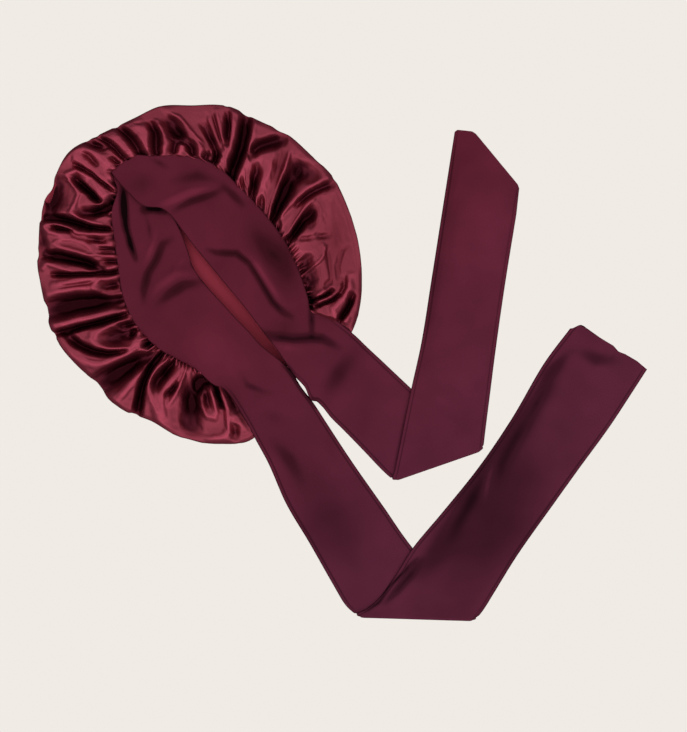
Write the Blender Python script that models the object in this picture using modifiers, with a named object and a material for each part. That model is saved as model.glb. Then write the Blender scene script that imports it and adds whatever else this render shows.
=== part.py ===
"""Sleep bonnet laid flat, opening up: a satin crown gathered into a knit band, and the band's two ties.

The origin is on the crown's underside, at the middle of its flat base. +Z is up, +X runs to the short tie and
the long tie leaves towards -Y. The band's tables use the opening's own two directions: along the slit, towards
the ties, and across it, towards the short tie.
"""

from math import cos, pi, radians, sin

import bmesh
import bpy
import numpy as np
from mathutils import Vector

MM = 0.001

# Driving dimensions, in millimetres
SATIN_WALL = 1.3  # the crown's cloth, with its loose gathers
STRIP_WALL = 2.0  # the band and ties: a flattened tube of knit, two layers thick
GAP = 0.3  # between two pieces that are sewn or lie together
STRIP_ON_FLOOR = STRIP_WALL / 2  # height of a tie's middle surface where it lies on the floor
STRIP_ON_STRIP = STRIP_ON_FLOOR + STRIP_WALL + 0.4  # and where it lies on its own first leg
CROWN_EDGE_HEIGHT = 10.2  # top of the crown's gathered edge, under the band
CROWN_EDGE_TUCK = 3.5  # how far that edge reaches in under the band
CROWN_EDGE_CLEAR = 1.0  # where the gathers start to rise, outside the band's edge
SLIT_DIRECTION = radians(-52.5)  # of the opening's long axis, seen from above

SEGMENTS_PER_FOLD = 4
GATHER_HEIGHT = 3.0
FOLD_DEPTH = 0.34  # of a fold's crest height
FLAT_CREST = 10.8  # a crest this low, under the ties, has no folds or gathers
FULL_CREST = 15.8  # and one this high has all of them

# The crown's main folds, anticlockwise from +X. Each runs from a place on the band's edge to one on the rim,
# and the rim dips by the notch between it and the next.
# at_rim: degrees, rim: radius, notch: depth after it, at_band: degrees, crest: height of its ridge
CROWN_FOLDS = (
    (2, 175.8, 0.0, -9, 18),
    (10, 176.1, 0.0, -2, 22),
    (18, 176.5, 0.0, 4, 20),
    (27, 177.8, 0.0, 12, 24),
    (36, 180.0, 0.8, 20, 22),
    (47, 177.6, 0.0, 29, 25),
    (58, 180.0, 1.0, 38, 24),
    (69, 179.8, 0.0, 50, 22),
    (81, 186.0, 0.8, 62, 25),
    (92, 183.6, 0.0, 73, 21),
    (104, 187.5, 1.5, 84, 24),
    (112, 183.6, 0.0, 94, 22),
    (118, 184.6, 1.0, 104, 23),
    (127, 188.2, 1.5, 118, 21),
    (136, 194.6, 1.0, 129, 22),
    (147, 188.6, 0.5, 136, 20),
    (158, 186.0, 1.0, 143, 23),
    (167, 179.4, 1.2, 153, 21),
    (175, 177.4, 1.0, 166, 24),
    (183, 173.0, 1.0, 180, 21),
    (191, 171.8, 0.0, 192, 24),
    (199, 172.7, 0.6, 205, 22),
    (207, 170.4, 1.0, 219, 24),
    (216, 166.2, 1.6, 231, 20),
    (225, 163.6, 1.0, 236, 22),
    (233, 167.7, 0.8, 241, 24),
    (242, 169.3, 2.5, 250, 21),
    (252, 167.6, 1.0, 255, 24),
    (262, 176.8, 0.0, 260, 25),
    (270, 182.2, 0.5, 265, 19),
    (277, 185.2, 1.0, 270, 16),
    (287, 188.5, 0.0, 278, 11.5),
    (296, 176.0, 0.0, 292, 10.4),
    (304, 163.0, 0.0, 303, 10.4),
    (313, 155.0, 0.0, 313, 10.4),
    (322, 163.0, 0.0, 323, 10.4),
    (331, 174.0, 0.0, 333, 10.4),
    (343, 178.2, 0.0, 343, 10.4),
    (351, 177.8, 0.6, 347, 16),
)

# Half the crown's section, from the band's edge over the ridge and the rim to the flat base. Its height is a
# share of the gathered edge's height and of the crest's.
# reach: share of the way from band to rim, edge, crest, folds and gathers: how far each of these shows there
CROWN_PROFILE = (
    (0.00, 1.00, 0.00, 0.00, 0.00),
    (0.10, 0.60, 0.42, 0.20, 0.90),
    (0.22, 0.15, 0.86, 0.55, 1.00),
    (0.37, 0.00, 1.00, 0.90, 0.55),
    (0.54, 0.00, 1.00, 1.00, 0.20),
    (0.70, 0.00, 0.94, 1.00, 0.00),
    (0.83, 0.00, 0.82, 0.90, 0.00),
    (0.93, 0.00, 0.62, 0.75, 0.00),
    (1.00, 0.00, 0.34, 0.50, 0.00),
    (0.98, 0.00, 0.10, 0.20, 0.00),
    (0.92, 0.00, 0.00, 0.00, 0.00),
    (0.82, 0.00, 0.00, 0.00, 0.00),
)

# The crown's gathered edge where it isn't under the sides of the band: round the back and, under the ties,
# round the front. along, across
BACK_OF_SEAM = ((-146, 15), (-147, 3), (-145, -8))
FRONT_OF_SEAM = ((123, -40), (135, -11), (139, 16), (134, 41), (121, 60))

# The band's right half, from its tie to the back, and its left half, from the back to its tie. Each row is a
# section square to the slit. along, across of its right and of its left edge, and the heights of those two edges
BAND_RIGHT = (
    (90, 78.5, 17.0, 12.5, 12.5),
    (60, 88.8, 17.3, 12.5, 12.5),
    (30, 95.4, 16.2, 12.5, 12.5),
    (0, 96.4, 15.2, 12.5, 12.5),
    (-30, 94.8, 14.2, 12.5, 12.7),
    (-52, 91.8, 14.5, 12.6, 13.8),
    (-72, 89.0, 13.5, 12.8, 14.6),
    (-93, 81.0, -1.0, 13.2, 15.0),
    (-116, 60.5, -7.0, 13.8, 15.0),
    (-133, 37.0, -8.5, 14.4, 14.8),
    (-143, 26.0, -8.5, 14.5, 14.5),
)
BAND_BACK = (-144, 14.0, -8.5, 14.5, 14.5)  # where the strip turns under
BAND_LEFT = (
    (-141, 17.0, -10.0, 11.7, 11.7),
    (-126, 20.0, -15.5, 11.6, 11.6),
    (-112, 20.0, -33.5, 11.5, 11.6),
    (-93, 19.0, -46.0, 11.4, 11.6),
    (-72, 17.0, -58.0, 11.4, 11.8),
    (-50, 12.5, -70.5, 11.6, 12.0),
    (-30, 6.5, -80.5, 12.0, 12.3),
    (-10, -0.5, -86.0, 12.5, 12.5),
    (15, -1.2, -87.2, 12.5, 12.5),
    (40, 0.8, -82.4, 12.5, 12.5),
    (62, 2.6, -72.8, 12.5, 12.5),
    (82, 5.0, -64.6, 12.5, 12.5),
)
# Where the band goes over into each tie, as along, across of its two ends
SHORT_TIE_ROOT = ((105.7, 71.9), (118.4, 17.1))
LONG_TIE_ROOT = ((102.0, 6.5), (102.3, -60.7))
TIE_ROOT_HEIGHT = 12.5

# The ties, leg by leg, from the band. Each row is a section from one edge to the other.
# ax, ay, az: a point on the left edge, seen from the band, and bx, by, bz: one on the right edge
SHORT_TIE_FIRST_LEG = (
    (144, -46, 12.5, 104, -111, 12.5),
    (168, -65, 12.3, 126, -137, 9.0),
    (195, -91, 5.5, 152, -165, 2.2),
    (229, -123, 1.1, 177, -190, 1.0),
    (266, -157, 1.0, 197, -211, 1.0),
)
SHORT_TIE_CREASE = ((307, -188), (209, -222))
SHORT_TIE_SECOND_LEG = (
    (309, -171, 2.4, 218, -177, 3.4),
    (314, -132, 1.2, 229, -123, 3.3),
    (320, -85, 1.0, 239, -78, 1.4),
    (331, -8, 1.0, 251, -4, 1.0),
    (343, 66, 1.0, 262, 66, 1.0),
)
SHORT_TIE_END = ((347, 95), (297, 156), (276, 157))  # the slanting cut, then a short square stretch

LONG_TIE_FIRST_LEG = (
    (89, -97, 12.7, 27, -124, 13.4),
    (110, -123, 11.5, 50, -158, 13.6),
    (133, -154, 5.5, 72, -199, 9.0),
    (164, -201, 1.3, 93, -247, 1.5),
    (199, -251, 1.0, 119, -291, 1.0),
    (230, -295, 1.0, 144, -335, 1.0),
    (265, -336, 1.0, 158, -358, 1.0),
)
LONG_TIE_CREASE = ((299, -373), (170, -369))
LONG_TIE_SECOND_LEG = (
    (307, -363, 2.6, 190, -354, 3.4),
    (319, -344, 1.9, 210, -328, 3.4),
    (338, -313, 1.3, 231, -295, 3.3),
    (352, -292, 1.0, 262, -258, 1.6),
    (377, -257, 1.0, 300, -211, 1.0),
    (410, -211, 1.0, 337, -157, 1.0),
    (447, -160, 1.0, 374, -94, 1.0),
    (477, -114, 1.0, 401, -58, 1.0),
)
LONG_TIE_END = ((485, -103), (427, -66), (408, -53))

STRIP_COLUMNS = 4  # faces across the band or a tie
CUT_CORNER_COLUMN = 3  # the point of a tie's cut end that is its corner
ROWS_BETWEEN_SECTIONS = 2
TURN_STEPS = 4  # faces round a crease

# Colours as linear RGB
SATIN_COLOUR = (0.235, 0.030, 0.052)
KNIT_COLOUR = (0.105, 0.020, 0.035)


def cleared_scene():
    for obj in list(bpy.data.objects):
        bpy.data.objects.remove(obj, do_unlink=True)


def named_collection(name):
    collection = bpy.data.collections.new(name)
    bpy.context.scene.collection.children.link(collection)
    return collection


def cloth_material(name, colour, roughness, sheen):
    material = bpy.data.materials.new(name)
    material.use_nodes = True
    shader = material.node_tree.nodes["Principled BSDF"]
    shader.inputs["Base Color"].default_value = (*colour, 1)
    shader.inputs["Roughness"].default_value = roughness
    shader.inputs["Sheen Weight"].default_value = sheen
    return material


def on_plan(along, across):
    """A point given along and across the slit, as X and Y."""
    x = along * cos(SLIT_DIRECTION) - across * sin(SLIT_DIRECTION)
    y = along * sin(SLIT_DIRECTION) + across * cos(SLIT_DIRECTION)
    return x, y


def smooth_rows(rows, steps):
    """Rows of numbers with steps - 1 more between each two, on one Catmull-Rom curve through them all."""
    rows = np.array(rows, float)
    padded = np.vstack((2 * rows[0] - rows[1], rows, 2 * rows[-1] - rows[-2]))
    found = []
    for before, start, end, after in zip(padded, padded[1:], padded[2:], padded[3:]):
        for share in np.arange(steps) / steps:
            bend = before - 2.5 * start + 2 * end - after / 2
            turn = (after - before) / 2 + 1.5 * (start - end)
            found.append(start + share * (end - before) / 2 + share**2 * bend + share**3 * turn)
    return np.array(found + [rows[-1]])


def cloth_object(name, grid, closed_round, wall, side, material, collection):
    """A walled sheet from a grid of points: grid[row][column], in millimetres. side is Solidify's offset."""
    mesh = bmesh.new()
    vertices = [[mesh.verts.new(Vector(point) * MM) for point in row] for row in grid]
    columns = len(vertices[0])
    for lower, upper in zip(vertices, vertices[1:]):
        for column in range(columns if closed_round else columns - 1):
            beside = (column + 1) % columns
            mesh.faces.new((lower[column], upper[column], upper[beside], lower[beside]))
    if closed_round:
        mesh.faces.new(reversed(vertices[-1]))
    data = bpy.data.meshes.new(name)
    mesh.to_mesh(data)
    mesh.free()
    data.shade_smooth()
    data.materials.append(material)
    obj = bpy.data.objects.new(name, data)
    collection.objects.link(obj)
    solidify = obj.modifiers.new("Wall", "SOLIDIFY")
    solidify.thickness = wall * MM
    solidify.offset = side
    solidify.use_even_offset = True
    solidify.thickness_clamp = 1.5
    return obj


def slit_section(row):
    along, right, left, right_height, left_height = row
    return (*on_plan(along, right), right_height, *on_plan(along, left), left_height)


def root_section(root, gap=0):
    """Where a tie leaves the band, this far clear of it."""
    (right_along, right), (left_along, left) = root
    return (
        *on_plan(right_along + gap, right),
        TIE_ROOT_HEIGHT,
        *on_plan(left_along + gap, left),
        TIE_ROOT_HEIGHT,
    )


def crease_section(crease, height):
    a, b = crease
    return (*a, height, *b, height)


def turned_over(before, crease, height):
    """The sections that turn a strip over its crease to another height. before is the section ahead of it."""
    crease = np.array(crease)
    a, b = crease[:3], crease[3:]
    ahead = (a + b - before[:3] - before[3:])[:2] / 2
    line = (b - a)[:2] / np.linalg.norm((b - a)[:2])
    outward = ahead - line * ahead.dot(line)
    outward /= np.linalg.norm(outward)
    radius = (height - a[2]) / 2
    sections = []
    for step in range(TURN_STEPS + 1):
        angle = pi * (step / TURN_STEPS - 0.5)
        shift = (*outward * abs(radius) * cos(angle), radius * (1 + sin(angle)))
        sections.append(crease + np.array(shift * 2))
    return sections


def across_strip(section):
    """One section's points, evenly from its a edge to its b edge."""
    a, b = np.array(section[:3]), np.array(section[3:])
    return [a + (b - a) * column / STRIP_COLUMNS for column in range(STRIP_COLUMNS + 1)]


def along_cut_end(corners, height):
    """A strip's last row of points, along its cut end, which has its own corner."""
    corner_columns = (0, CUT_CORNER_COLUMN, STRIP_COLUMNS)
    x, y = (np.interp(range(STRIP_COLUMNS + 1), corner_columns, row) for row in zip(*corners))
    return [(*place, height) for place in zip(x, y)]


def band_halves():
    right = [root_section(SHORT_TIE_ROOT)] + [slit_section(row) for row in BAND_RIGHT]
    left = [slit_section(row) for row in BAND_LEFT] + [root_section(LONG_TIE_ROOT)]
    return smooth_rows(right, ROWS_BETWEEN_SECTIONS), smooth_rows(left, ROWS_BETWEEN_SECTIONS)


def make_band(material, collection):
    right, left = band_halves()
    turn = turned_over(right[-1], slit_section(BAND_BACK), BAND_LEFT[0][3])
    grid = [across_strip(section) for section in (*right, *turn, *left)]
    return cloth_object("band", grid, False, STRIP_WALL, 0, material, collection)


def make_tie(name, root, first_leg, crease, second_leg, end, material, collection):
    at_crease = crease_section(crease, STRIP_ON_FLOOR)
    first = smooth_rows([root_section(root, GAP), *first_leg, at_crease], ROWS_BETWEEN_SECTIONS)
    turn = turned_over(first[-2], at_crease, STRIP_ON_STRIP)
    second = smooth_rows([turn[-1], *second_leg], ROWS_BETWEEN_SECTIONS)
    sections = np.array([*first[:-1], *turn, *second[1:]])
    sections[:, 2::3] = np.maximum(sections[:, 2::3], STRIP_ON_FLOOR)
    grid = [across_strip(section) for section in sections]
    grid.append(along_cut_end(end, STRIP_ON_FLOOR))
    return cloth_object(name, grid, False, STRIP_WALL, 0, material, collection)


def seam_outline():
    """The band's sewn edge all round, as two arrays: the angles in degrees, rising, and the radii."""
    right, left = band_halves()
    back = [on_plan(*place) for place in BACK_OF_SEAM]
    front = [on_plan(*place) for place in FRONT_OF_SEAM]
    x, y = np.array([*right[:, :2], *back, *left[2:, 3:5], *front]).T
    angles = np.degrees(np.arctan2(y, x)) % 360
    order = np.argsort(angles)
    return angles[order], np.hypot(x, y)[order]


def at_angle(degrees, radius):
    return np.array((radius * cos(radians(degrees)), radius * sin(radians(degrees))))


def crown_column(fold, following, share, seam):
    """The crown's section at a share of the way from one fold to the next, from the band to the base."""
    at_rim, rim, notch, at_band, crest = (a + (b - a) * share for a, b in zip(fold, following))
    notch = fold[2]
    between = sin(pi * share) ** 2
    valley = 1 - (1 - abs(2 * share - 1)) ** 2
    gather = cos(4 * pi * share)
    seam_radius = np.interp(at_band % 360, *seam, period=360)
    tucked = at_angle(at_band, seam_radius - CROWN_EDGE_TUCK)
    start = at_angle(at_band, seam_radius + CROWN_EDGE_CLEAR)
    finish = at_angle(at_rim, rim - notch * between)
    column = [(*tucked, CROWN_EDGE_HEIGHT)]
    room = np.interp(crest, (FLAT_CREST, FULL_CREST), (0, 1))
    for reach, edge_share, crest_share, fold_share, gather_share in CROWN_PROFILE:
        ridge = crest * (1 - FOLD_DEPTH * room * fold_share * (1 - valley))
        height = edge_share * CROWN_EDGE_HEIGHT + crest_share * ridge
        height += gather * gather_share * room * GATHER_HEIGHT
        column.append((*(start + (finish - start) * reach), height))
    return column


def make_crown(material, collection):
    seam = seam_outline()
    columns = []
    for fold, following in zip(CROWN_FOLDS, CROWN_FOLDS[1:] + CROWN_FOLDS[:1]):
        if following[0] < fold[0]:
            following = (following[0] + 360, *following[1:3], following[3] + 360, following[4])
        for step in range(SEGMENTS_PER_FOLD):
            columns.append(crown_column(fold, following, step / SEGMENTS_PER_FOLD, seam))
    grid = [[column[row] for column in columns] for row in range(len(columns[0]))]
    return cloth_object("crown", grid, True, SATIN_WALL, -1, material, collection)


def main():
    cleared_scene()
    bonnet = named_collection("Sleep bonnet")
    satin = cloth_material("Satin", SATIN_COLOUR, 0.35, 0.2)
    knit = cloth_material("Brushed knit", KNIT_COLOUR, 0.8, 0.4)
    make_crown(satin, bonnet)
    make_band(knit, bonnet)
    make_tie(
        "tie_short",
        SHORT_TIE_ROOT,
        SHORT_TIE_FIRST_LEG,
        SHORT_TIE_CREASE,
        SHORT_TIE_SECOND_LEG,
        SHORT_TIE_END,
        knit,
        bonnet,
    )
    make_tie(
        "tie_long",
        LONG_TIE_ROOT,
        LONG_TIE_FIRST_LEG,
        LONG_TIE_CREASE,
        LONG_TIE_SECOND_LEG,
        LONG_TIE_END,
        knit,
        bonnet,
    )


main()
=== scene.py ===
"""A satin sleep bonnet laid flat: its gathered crown, its knit band and its two folded ties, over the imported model."""

from math import cos, pi, radians, sin

import bmesh
import bpy
import numpy as np
from bpy.props import FloatProperty, FloatVectorProperty, IntProperty, PointerProperty
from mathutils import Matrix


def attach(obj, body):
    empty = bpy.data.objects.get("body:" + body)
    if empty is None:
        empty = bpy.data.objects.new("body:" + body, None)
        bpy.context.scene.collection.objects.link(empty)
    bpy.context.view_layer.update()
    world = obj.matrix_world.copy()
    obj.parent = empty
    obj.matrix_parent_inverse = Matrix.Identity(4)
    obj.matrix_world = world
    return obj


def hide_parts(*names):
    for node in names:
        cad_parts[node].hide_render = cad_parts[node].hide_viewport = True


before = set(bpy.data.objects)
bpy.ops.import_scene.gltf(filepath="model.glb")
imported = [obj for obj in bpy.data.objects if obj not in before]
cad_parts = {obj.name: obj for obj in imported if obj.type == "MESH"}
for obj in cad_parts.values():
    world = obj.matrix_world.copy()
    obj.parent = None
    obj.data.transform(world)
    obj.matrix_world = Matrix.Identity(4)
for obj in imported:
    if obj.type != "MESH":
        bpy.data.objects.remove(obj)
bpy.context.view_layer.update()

bl_info = {
    "name": "Sleep bonnet",
    "version": (1, 0, 0),
    "blender": (4, 5, 0),
    "location": "3D View > Sidebar > Bonnet",
    "description": "Makes a satin bonnet with a gathered crown, a knit band and folded ties",
    "category": "Object",
}

MM = 0.001
SLIT_DIRECTION = radians(-52.5)  # of the opening's long axis, seen from above
RNG_SEED = 5

# The rim, seen from above: degrees anticlockwise from +X, millimetres from the crown's middle, and where a fold
# that ends there starts, because folds run aslant: degrees on the band's edge
RIM = (
    (2, 175.8, -9), (10, 176.1, -2), (18, 176.5, 4), (27, 177.8, 12), (36, 180.0, 20), (47, 177.6, 29),
    (58, 180.0, 38), (69, 179.8, 50), (81, 186.0, 62), (92, 183.6, 73), (104, 187.5, 84), (112, 183.6, 94),
    (118, 184.6, 104), (127, 188.2, 118), (136, 194.6, 129), (147, 188.6, 136), (158, 186.0, 143), (167, 179.4, 153),
    (175, 177.4, 166), (183, 173.0, 180), (191, 171.8, 192), (199, 172.7, 205), (207, 170.4, 219), (216, 166.2, 231),
    (225, 163.6, 236), (233, 167.7, 241), (242, 169.3, 250), (252, 167.6, 255), (262, 176.8, 260), (270, 182.2, 265),
    (277, 185.2, 270), (287, 188.5, 278), (296, 176.0, 292), (304, 163.0, 303), (313, 155.0, 313), (322, 163.0, 323),
    (331, 174.0, 333), (343, 178.2, 343), (351, 177.8, 347),
)
AT_RIM, AT_BAND = 1, 2  # the table's columns

# The crown's folds, each with how high it stands or how deep it lies, its half width in millimetres, and the
# points that it runs through: their degrees on the rim and their reach, from 0 at the band to 1 at the rim
# Their heights also set the satin's painted highlight on ridges and painted shade in valleys.
FOLDS = (
    # right, 0 to 30 degrees
    (-10, 12, 3, 0.07, 9, 0.12), (-10, 9, 14, 0.1, 18, 0.17),
    (5, 3, 11.3, 0.03, 11.8, 0.2, 13, 0.36, 14.5, 0.45, 17, 0.5, 19, 0.49), (5, 13, 21, 0.25, 27, 0.13, 30, 0.08),
    (-3, 3, 25, 0.38, 28, 0.27, 31, 0.2), (-3, 3, 20.5, 0.62, 23, 0.5, 24.5, 0.45),
    (-12, 8, 34.2, 0.03, 34.5, 0.2, 34.5, 0.4, 34, 0.5), (-6, 6, 30.5, 0.46, 33, 0.48),
    (5, 3.5, 37, 0.08, 37.6, 0.3, 38, 0.5, 37.2, 0.62), (-1.5, 3, 0, 0.49, 8, 0.5, 16, 0.52),
    (2.5, 9, -3, 0.75, 4, 0.75), (-2, 4, 0, 0.6, 7, 0.63, 12, 0.75, 12, 0.85), (-4, 5, 0, 0.4, 1.5, 0.44),
    (2, 8, 26, 0.75, 31, 0.75),
    # upper right, 30 to 90
    (-6, 4, 34.5, 0.95, 37, 0.82, 40, 0.63, 42.5, 0.45),
    (6, 4, 37.5, 0.93, 39, 0.82, 42.5, 0.65, 45, 0.45, 48, 0.25, 50, 0.1), (4, 8, 40, 0.15, 44, 0.21, 47, 0.17),
    (-7, 6, 46, 0.03, 48, 0.09), (2, 2.5, 42, 0.04, 44, 0.13, 47, 0.17, 49.8, 0.08),
    (-13, 11, 54, 0.02, 53, 0.25, 51.5, 0.5, 50, 0.72), (-8, 8, 48, 0.75, 43.5, 0.87),
    (7, 3.5, 56.8, 0.04, 57.6, 0.16, 56.6, 0.3, 55.9, 0.5, 55.2, 0.65, 55.3, 0.8),
    (4, 4, 54.5, 0.88, 50, 0.89, 46, 0.95, 40, 0.96), (-6, 5, 64, 0.05, 64.5, 0.13),
    (3, 2.5, 61, 0.04, 62, 0.18, 64.5, 0.22, 67.5, 0.17, 69.5, 0.07), (-4, 7, 59, 0.5, 58.5, 0.75),
    (6, 6, 67, 0.22, 65, 0.35, 63, 0.5, 61.5, 0.7), (-10, 7, 72.5, 0.1, 70.5, 0.27, 69, 0.4),
    (6, 5, 84.5, 0.04, 82, 0.18, 77.5, 0.36, 72.5, 0.52, 66, 0.65), (-9, 5, 73, 0.55, 68.5, 0.7, 63, 0.83, 59, 0.93),
    (3, 2.2, 74, 0.26, 74.3, 0.17, 76.3, 0.12, 78, 0.18, 77, 0.26), (-5, 4, 81, 0.07, 79.5, 0.15),
    (-13, 6, 92, 0, 88, 0.1, 84, 0.24, 80, 0.4, 76.5, 0.6, 74.5, 0.8, 73.3, 0.95),
    (5, 4.5, 73.8, 0.6, 71.8, 0.75, 70.5, 0.93), (7, 4.5, 90, 0.29, 85.5, 0.42, 82, 0.57, 79.5, 0.74, 78, 0.93),
    (5, 3, 91, 0.05, 88, 0.17, 86.8, 0.28), (-8, 4, 84, 0.55, 82, 0.72, 80.8, 0.9),
    (4, 2.5, 85.2, 0.5, 85, 0.7, 84.6, 0.93), (-3, 2, 86.4, 0.55, 86.3, 0.88), (3, 3, 88, 0.5, 88, 0.9),
    # top, 90 to 130
    (5, 3, 90, 0.28, 94, 0.17, 99, 0.07, 103, 0), (-9, 4, 90, 0.38, 93.5, 0.27, 98.5, 0.14, 103.5, 0.05),
    (5, 2.8, 94.5, 0.36, 96.5, 0.21, 100, 0.12, 105, 0.03), (-6, 3, 97.3, 0.29, 101, 0.2, 105, 0.1),
    (7, 5, 110, 0.04, 105.5, 0.18, 101.5, 0.32, 98.5, 0.46), (4, 4, 98.8, 0.5, 99.6, 0.7, 100, 0.84, 102, 0.93),
    (-7, 7, 91, 0.42, 91, 0.7), (-11, 8, 107.5, 0.43, 104.8, 0.6, 103.7, 0.75),
    (-8, 5, 109.5, 0.1, 106, 0.26, 103, 0.4), (6, 3.5, 116, 0.02, 113, 0.15, 110, 0.27, 107.5, 0.36),
    (-6, 3, 115.5, 0.12, 112.5, 0.28, 109.5, 0.41), (6, 3.2, 120, 0.03, 117, 0.2, 113.5, 0.38, 110.5, 0.57, 108, 0.82),
    (-8, 4.5, 120.8, 0.08, 118, 0.29, 115, 0.48, 112, 0.65, 110, 0.82),
    (7, 5.5, 122.5, 0.1, 120.7, 0.3, 118.5, 0.5, 115.3, 0.7, 113, 0.93),
    (-8.5, 4.5, 125, 0.05, 123, 0.3, 121.3, 0.5, 120, 0.7, 119, 0.95),
    (7, 5.5, 128, 0.03, 126.5, 0.2, 125, 0.4, 124, 0.6, 122.5, 0.88),
    (-7, 3.5, 130, 0.08, 129, 0.28, 127.6, 0.5, 126.8, 0.7, 126.5, 0.92),
    (5, 2.5, 131, 0.04, 130.3, 0.2, 129.5, 0.35, 128.6, 0.5), (-7, 5, 129.8, 0.62, 130, 0.93),
    (-5, 2.5, 132.5, 0.06, 131.6, 0.3),
    # upper left, 130 to 180
    (7, 5, 136, 0.07, 134.4, 0.25, 133.2, 0.45, 132.8, 0.65, 133.5, 0.87), (-4, 3, 137, 0.38, 135.2, 0.6, 134.6, 0.78),
    (7, 6, 142, 0.02, 141, 0.18, 139.7, 0.38, 138.5, 0.6, 137.6, 0.8, 136, 0.92),
    (-7, 3, 144, 0.12, 142.5, 0.27, 141, 0.42, 140.3, 0.6, 140, 0.8),
    (7, 6, 152, 0.14, 147.5, 0.2, 144.7, 0.35, 143, 0.5),
    (6, 3.2, 142.5, 0.55, 142.1, 0.73, 144, 0.87, 146, 0.8, 148, 0.66, 151, 0.57, 155, 0.555, 159, 0.59, 161.3, 0.5,
     163, 0.33, 164, 0.17), (-11, 4.5, 153, 0.25, 149.5, 0.4, 147, 0.56, 145.2, 0.7), (3, 7, 152.5, 0.42, 156, 0.38),
    (-11, 7, 149, 0.01, 155, 0.05, 157.3, 0.13, 158.8, 0.26, 159, 0.4), (3, 2.5, 161, 0.12, 162, 0.2),
    (-6, 9, 149, 0.87, 155, 0.82, 159, 0.87), (-11, 4, 165, 0.33, 163, 0.5, 161.3, 0.7, 160.5, 0.93),
    (6, 2.8, 166, 0.48, 164, 0.6, 162.5, 0.75, 162.1, 0.87, 163.4, 0.93, 165.2, 0.88, 166.5, 0.75, 167, 0.6),
    (-8, 2.5, 165.2, 0.58, 164, 0.8), (5, 3, 168, 0.03, 167.5, 0.2, 166.8, 0.35, 166.3, 0.5),
    (-9, 3.2, 166.2, 0.02, 165.6, 0.2, 165, 0.33), (-6, 3.5, 169.7, 0.18, 169, 0.33),
    (5, 3, 173, 0.3, 170.2, 0.4, 168.5, 0.55, 168.2, 0.7, 169.5, 0.79, 171, 0.7, 173, 0.5, 174.5, 0.36),
    (5, 2.2, 172.3, 0, 171.4, 0.2, 170, 0.3), (4, 2, 173.6, 0, 173.5, 0.25), (-5, 2, 172.9, 0.03, 172.4, 0.2),
    (4, 2.2, 175, 0.02, 174.5, 0.35), (-5, 2, 174.3, 0.03, 174, 0.22),
    (-12, 5, 179.5, 0.25, 177, 0.4, 175.6, 0.55, 174.3, 0.7, 173.2, 0.9),
    (4, 3, 174.8, 0.42, 176, 0.35, 178.5, 0.29, 179.8, 0.18, 180, 0.04), (-5, 3, 177.5, 0.05, 177.3, 0.2),
    (6, 3.2, 179.8, 0.57, 178, 0.73, 176.3, 0.88, 178, 0.94), (-8, 6, 147, 0.98, 152, 0.9, 158, 0.88),
    (-6, 5, 166, 0.99, 171, 0.93),
    # left, 180 to 220
    (-8, 3, 182, 0.02, 181.8, 0.2, 181.8, 0.4, 181.2, 0.6, 180.5, 0.83),
    (6, 4, 183.9, 0.2, 183.5, 0.42, 184, 0.65, 184.2, 0.85), (7, 5, 187.7, 0.38, 187, 0.55, 187, 0.73, 187.5, 0.9),
    (-3, 2.5, 185.5, 0.4, 185.6, 0.75), (-9, 5, 187.5, 0.04, 188, 0.2),
    (5, 2.8, 192, 0.03, 192.3, 0.18, 191, 0.29, 188.5, 0.36, 186.5, 0.36, 184.5, 0.25, 184.5, 0.05),
    (-14, 11, 195, 0.12, 193.7, 0.35, 193, 0.6, 193.5, 1),
    (8, 5, 198, 0.08, 198.2, 0.25, 199, 0.42, 199.2, 0.52, 199.1, 0.65, 199.4, 0.8, 199, 0.95),
    (3, 2, 198.5, 0.03, 199.7, 0.08, 201.5, 0.05), (-11, 4, 202, 0.1, 202.3, 0.4, 202, 0.65, 202.3, 0.97),
    (7, 4.5, 203.4, 0.08, 203.8, 0.22, 205, 0.38, 205.6, 0.52, 208, 0.6, 211, 0.6, 214, 0.52, 216.5, 0.4, 218.3, 0.29,
     216, 0.2, 212, 0.1, 209.5, 0.03), (-13, 11, 209, 0.2, 210.5, 0.35), (-8, 3.5, 206, 0.06, 205.6, 0.18),
    (3, 2.2, 207.6, 0.05, 208.6, 0.14, 208.5, 0.22, 206, 0.25), (-8, 3, 210, 0.1, 213, 0.2),
    (-9, 5, 204, 0.85, 209, 0.79, 213, 0.7, 216.7, 0.57, 219, 0.42),
    # lower left, 215 to 262
    (8, 6.5, 215.5, 0.04, 218, 0.14, 221, 0.24, 222, 0.4, 221, 0.6, 219.5, 0.75, 216, 0.87, 212, 0.94),
    (5, 4, 223, 0.2, 228, 0.18, 231.5, 0.13), (4, 2.5, 230, 0.1, 229.5, 0.02, 232, 0, 234, 0.05, 232.5, 0.12),
    (-9, 6, 219, 0.03, 224, 0.08, 227, 0.06), (-14, 13, 233.5, 0.26, 230, 0.4, 228.5, 0.6, 228, 1),
    (8, 5, 235.3, 0.33, 236, 0.5, 236.6, 0.7, 236.6, 0.93),
    (-11, 5, 237.5, 0.05, 238, 0.3, 239.5, 0.5, 242, 0.68, 246, 0.97),
    (8, 4.5, 254, 0.02, 246.5, 0.06, 242.5, 0.12, 241, 0.25, 241, 0.4, 243, 0.53, 247, 0.66, 251, 0.79, 254, 0.93),
    (-14, 11, 249.5, 0.15, 247.5, 0.3, 246.2, 0.42),
    (7, 5.5, 262, 0.12, 258.5, 0.2, 255.5, 0.32, 252.5, 0.47, 252, 0.6, 254.5, 0.78, 257, 0.93),
    (-7, 3.5, 259, 0.36, 256.8, 0.47, 254.6, 0.55), (6, 3.2, 265, 0.12, 262.5, 0.25, 261, 0.38, 259, 0.53, 257, 0.66),
    # bottom, 260 to 290
    (-14, 13, 271.5, 0.28, 268.3, 0.45, 267, 0.62, 266.5, 0.78), (3, 4, 261.5, 0.75, 263, 0.9, 269, 0.94),
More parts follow.
